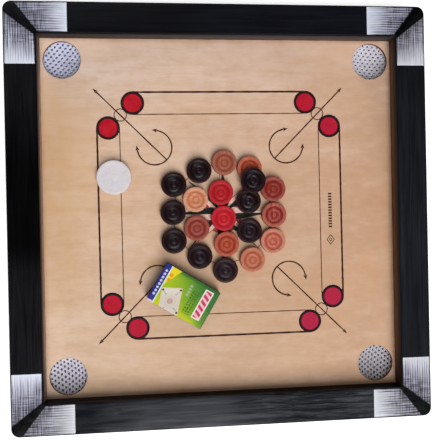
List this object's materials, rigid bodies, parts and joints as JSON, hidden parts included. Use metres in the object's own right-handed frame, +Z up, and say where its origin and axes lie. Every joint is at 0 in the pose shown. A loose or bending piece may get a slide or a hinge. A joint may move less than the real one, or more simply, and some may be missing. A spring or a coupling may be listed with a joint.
{
  "type": "carrom board",
  "caption": "Square carrom board with a black wooden frame, plywood playing surface, corner pockets with nets, turned wooden men and a striker.",
  "frame": {"origin": "on the ground, under the middle of the board", "axes": "+Z up out of the playing surface, +X to the board's right, +Y to its back"},
  "size_m": [0.508, 0.508, 0.04],
  "materials": {
    "rail_paint": "gloss black paint over hardwood, streaky silver paint at the corners",
    "plywood": "smooth lacquered plywood with printed lanes, circles and arrows",
    "batten_wood": "raw sawn softwood",
    "zinc_steel": "zinc-plated steel",
    "net_cord": "knitted white thread",
    "man_black": "black lacquer on turned wood",
    "man_natural": "turned hardwood, orange to red-brown stain",
    "queen_red": "red lacquer on turned wood",
    "striker_white": "polished white plastic",
    "printed_card": "coated printed card"
  },
  "bodies": {
    "board": {"rail_front": "rail_paint", "rail_back": "rail_paint", "rail_left": "rail_paint", "rail_right": "rail_paint", "playing_surface": "plywood", "pocket_net_back_left": "net_cord", "pocket_net_back_right": "net_cord", "pocket_net_front_left": "net_cord", "pocket_net_front_right": "net_cord", "batten_x": "batten_wood", "batten_y": "batten_wood", "batten_screw_back": "zinc_steel", "batten_screw_left": "zinc_steel", "batten_screw_front": "zinc_steel", "batten_screw_right": "zinc_steel", "lap_screw": "zinc_steel", "corner_nail_back_left": "zinc_steel", "corner_nail_back_right": "zinc_steel", "corner_nail_front_left": "zinc_steel", "corner_nail_front_right": "zinc_steel", "net_tack_back_left_1": "zinc_steel", "net_tack_back_left_2": "zinc_steel", "net_tack_back_left_3": "zinc_steel", "net_tack_back_left_4": "zinc_steel", "net_tack_back_right_1": "zinc_steel", "net_tack_back_right_2": "zinc_steel", "net_tack_back_right_3": "zinc_steel", "net_tack_back_right_4": "zinc_steel", "net_tack_front_left_1": "zinc_steel", "net_tack_front_left_2": "zinc_steel", "net_tack_front_left_3": "zinc_steel", "net_tack_front_left_4": "zinc_steel", "net_tack_front_right_1": "zinc_steel", "net_tack_front_right_2": "zinc_steel", "net_tack_front_right_3": "zinc_steel", "net_tack_front_right_4": "zinc_steel"},
    "man_black_1": {"man_black_1": "man_black"},
    "man_black_2": {"man_black_2": "man_black"},
    "man_black_3": {"man_black_3": "man_black"},
    "man_black_4": {"man_black_4": "man_black"},
    "man_black_5": {"man_black_5": "man_black"},
    "man_black_6": {"man_black_6": "man_black"},
    "man_black_7": {"man_black_7": "man_black"},
    "man_black_8": {"man_black_8": "man_black"},
    "man_black_9": {"man_black_9": "man_black"},
    "man_natural_1": {"man_natural_1": "man_natural"},
    "man_natural_2": {"man_natural_2": "man_natural"},
    "man_natural_3": {"man_natural_3": "man_natural"},
    "man_natural_4": {"man_natural_4": "man_natural"},
    "man_natural_5": {"man_natural_5": "man_natural"},
    "man_natural_6": {"man_natural_6": "man_natural"},
    "man_natural_7": {"man_natural_7": "man_natural"},
    "man_natural_8": {"man_natural_8": "man_natural"},
    "man_natural_9": {"man_natural_9": "man_natural"},
    "queen_1": {"queen_1": "queen_red"},
    "queen_2": {"queen_2": "queen_red"},
    "striker": {"striker": "striker_white"},
    "powder_carton": {"powder_carton": "printed_card"},
    "carton_flap": {"powder_carton_flap": "printed_card"}
  },
  "joints": [
    {"name": "man_black_1_slide", "type": "slide", "parent": "board", "child": "man_black_1", "axis": [-0.84, 0.5426, 0], "range_m": [0, 0.042]},
    {"name": "man_black_2_slide", "type": "slide", "parent": "board", "child": "man_black_2", "axis": [-1, 0, 0], "range_m": [0, 0.138]},
    {"name": "man_black_3_slide", "type": "slide", "parent": "board", "child": "man_black_3", "axis": [-0.8973, -0.4415, 0], "range_m": [0, 0.154]},
    {"name": "man_black_4_slide", "type": "slide", "parent": "board", "child": "man_black_4", "axis": [-0.767, 0.6416, 0], "range_m": [0, 0.186]},
    {"name": "man_black_5_slide", "type": "slide", "parent": "board", "child": "man_black_5", "axis": [-0.5195, -0.8545, 0], "range_m": [0, 0.009]},
    {"name": "man_black_6_slide", "type": "slide", "parent": "board", "child": "man_black_6", "axis": [0.4067, -0.9135, 0], "range_m": [0, 0.144]},
    {"name": "man_black_7_lift", "type": "slide", "parent": "board", "child": "man_black_7", "axis": [0, 0, 1], "range_m": [0, 0.03]},
    {"name": "man_black_8_lift", "type": "slide", "parent": "board", "child": "man_black_8", "axis": [0, 0, 1], "range_m": [0, 0.03]},
    {"name": "man_natural_1_lift", "type": "slide", "parent": "board", "child": "man_natural_1", "axis": [0, 0, 1], "range_m": [0, 0.03]},
    {"name": "man_natural_2_lift", "type": "slide", "parent": "board", "child": "man_natural_2", "axis": [0, 0, 1], "range_m": [0, 0.03]},
    {"name": "man_natural_3_slide", "type": "slide", "parent": "board", "child": "man_natural_3", "axis": [0, 1, 0], "range_m": [0, 0.1345]},
    {"name": "man_natural_4_lift", "type": "slide", "parent": "board", "child": "man_natural_4", "axis": [0, 0, 1], "range_m": [0, 0.03]},
    {"name": "man_natural_5_slide", "type": "slide", "parent": "board", "child": "man_natural_5", "axis": [0.5, 0.866, 0], "range_m": [0, 0.1635]},
    {"name": "man_natural_6_slide", "type": "slide", "parent": "board", "child": "man_natural_6", "axis": [0.7539, -0.657, 0], "range_m": [0, 0.181]},
    {"name": "man_natural_7_slide", "type": "slide", "parent": "board", "child": "man_natural_7", "axis": [0.6271, 0.779, 0], "range_m": [0, 0.1785]},
    {"name": "man_natural_8_slide", "type": "slide", "parent": "board", "child": "man_natural_8", "axis": [1, 0, 0], "range_m": [0, 0.136]},
    {"name": "man_natural_9_slide", "type": "slide", "parent": "board", "child": "man_natural_9", "axis": [0.8829, -0.4695, 0], "range_m": [0, 0.156]},
    {"name": "queen_1_lift", "type": "slide", "parent": "board", "child": "queen_1", "axis": [0, 0, 1], "range_m": [0, 0.03]},
    {"name": "queen_2_lift", "type": "slide", "parent": "board", "child": "queen_2", "axis": [0, 0, 1], "range_m": [0, 0.03]},
    {"name": "man_black_9_lift", "type": "slide", "parent": "man_black_7", "child": "man_black_9", "axis": [0, 0, 1], "range_m": [0, 0.03]},
    {"name": "striker_slide", "type": "slide", "parent": "board", "child": "striker", "axis": [0, 1, 0], "range_m": [-0.134, 0.038]},
    {"name": "powder_carton_lift", "type": "slide", "parent": "board", "child": "powder_carton", "axis": [0, 0, 1], "range_m": [0, 0.04]},
    {"name": "carton_flap_hinge", "type": "hinge", "parent": "powder_carton", "child": "carton_flap", "pos_m": [-0.01956, -0.11472, 0.0386], "axis": [-0.5195, -0.8545, 0], "range_deg": [0, 165]}
  ]
}
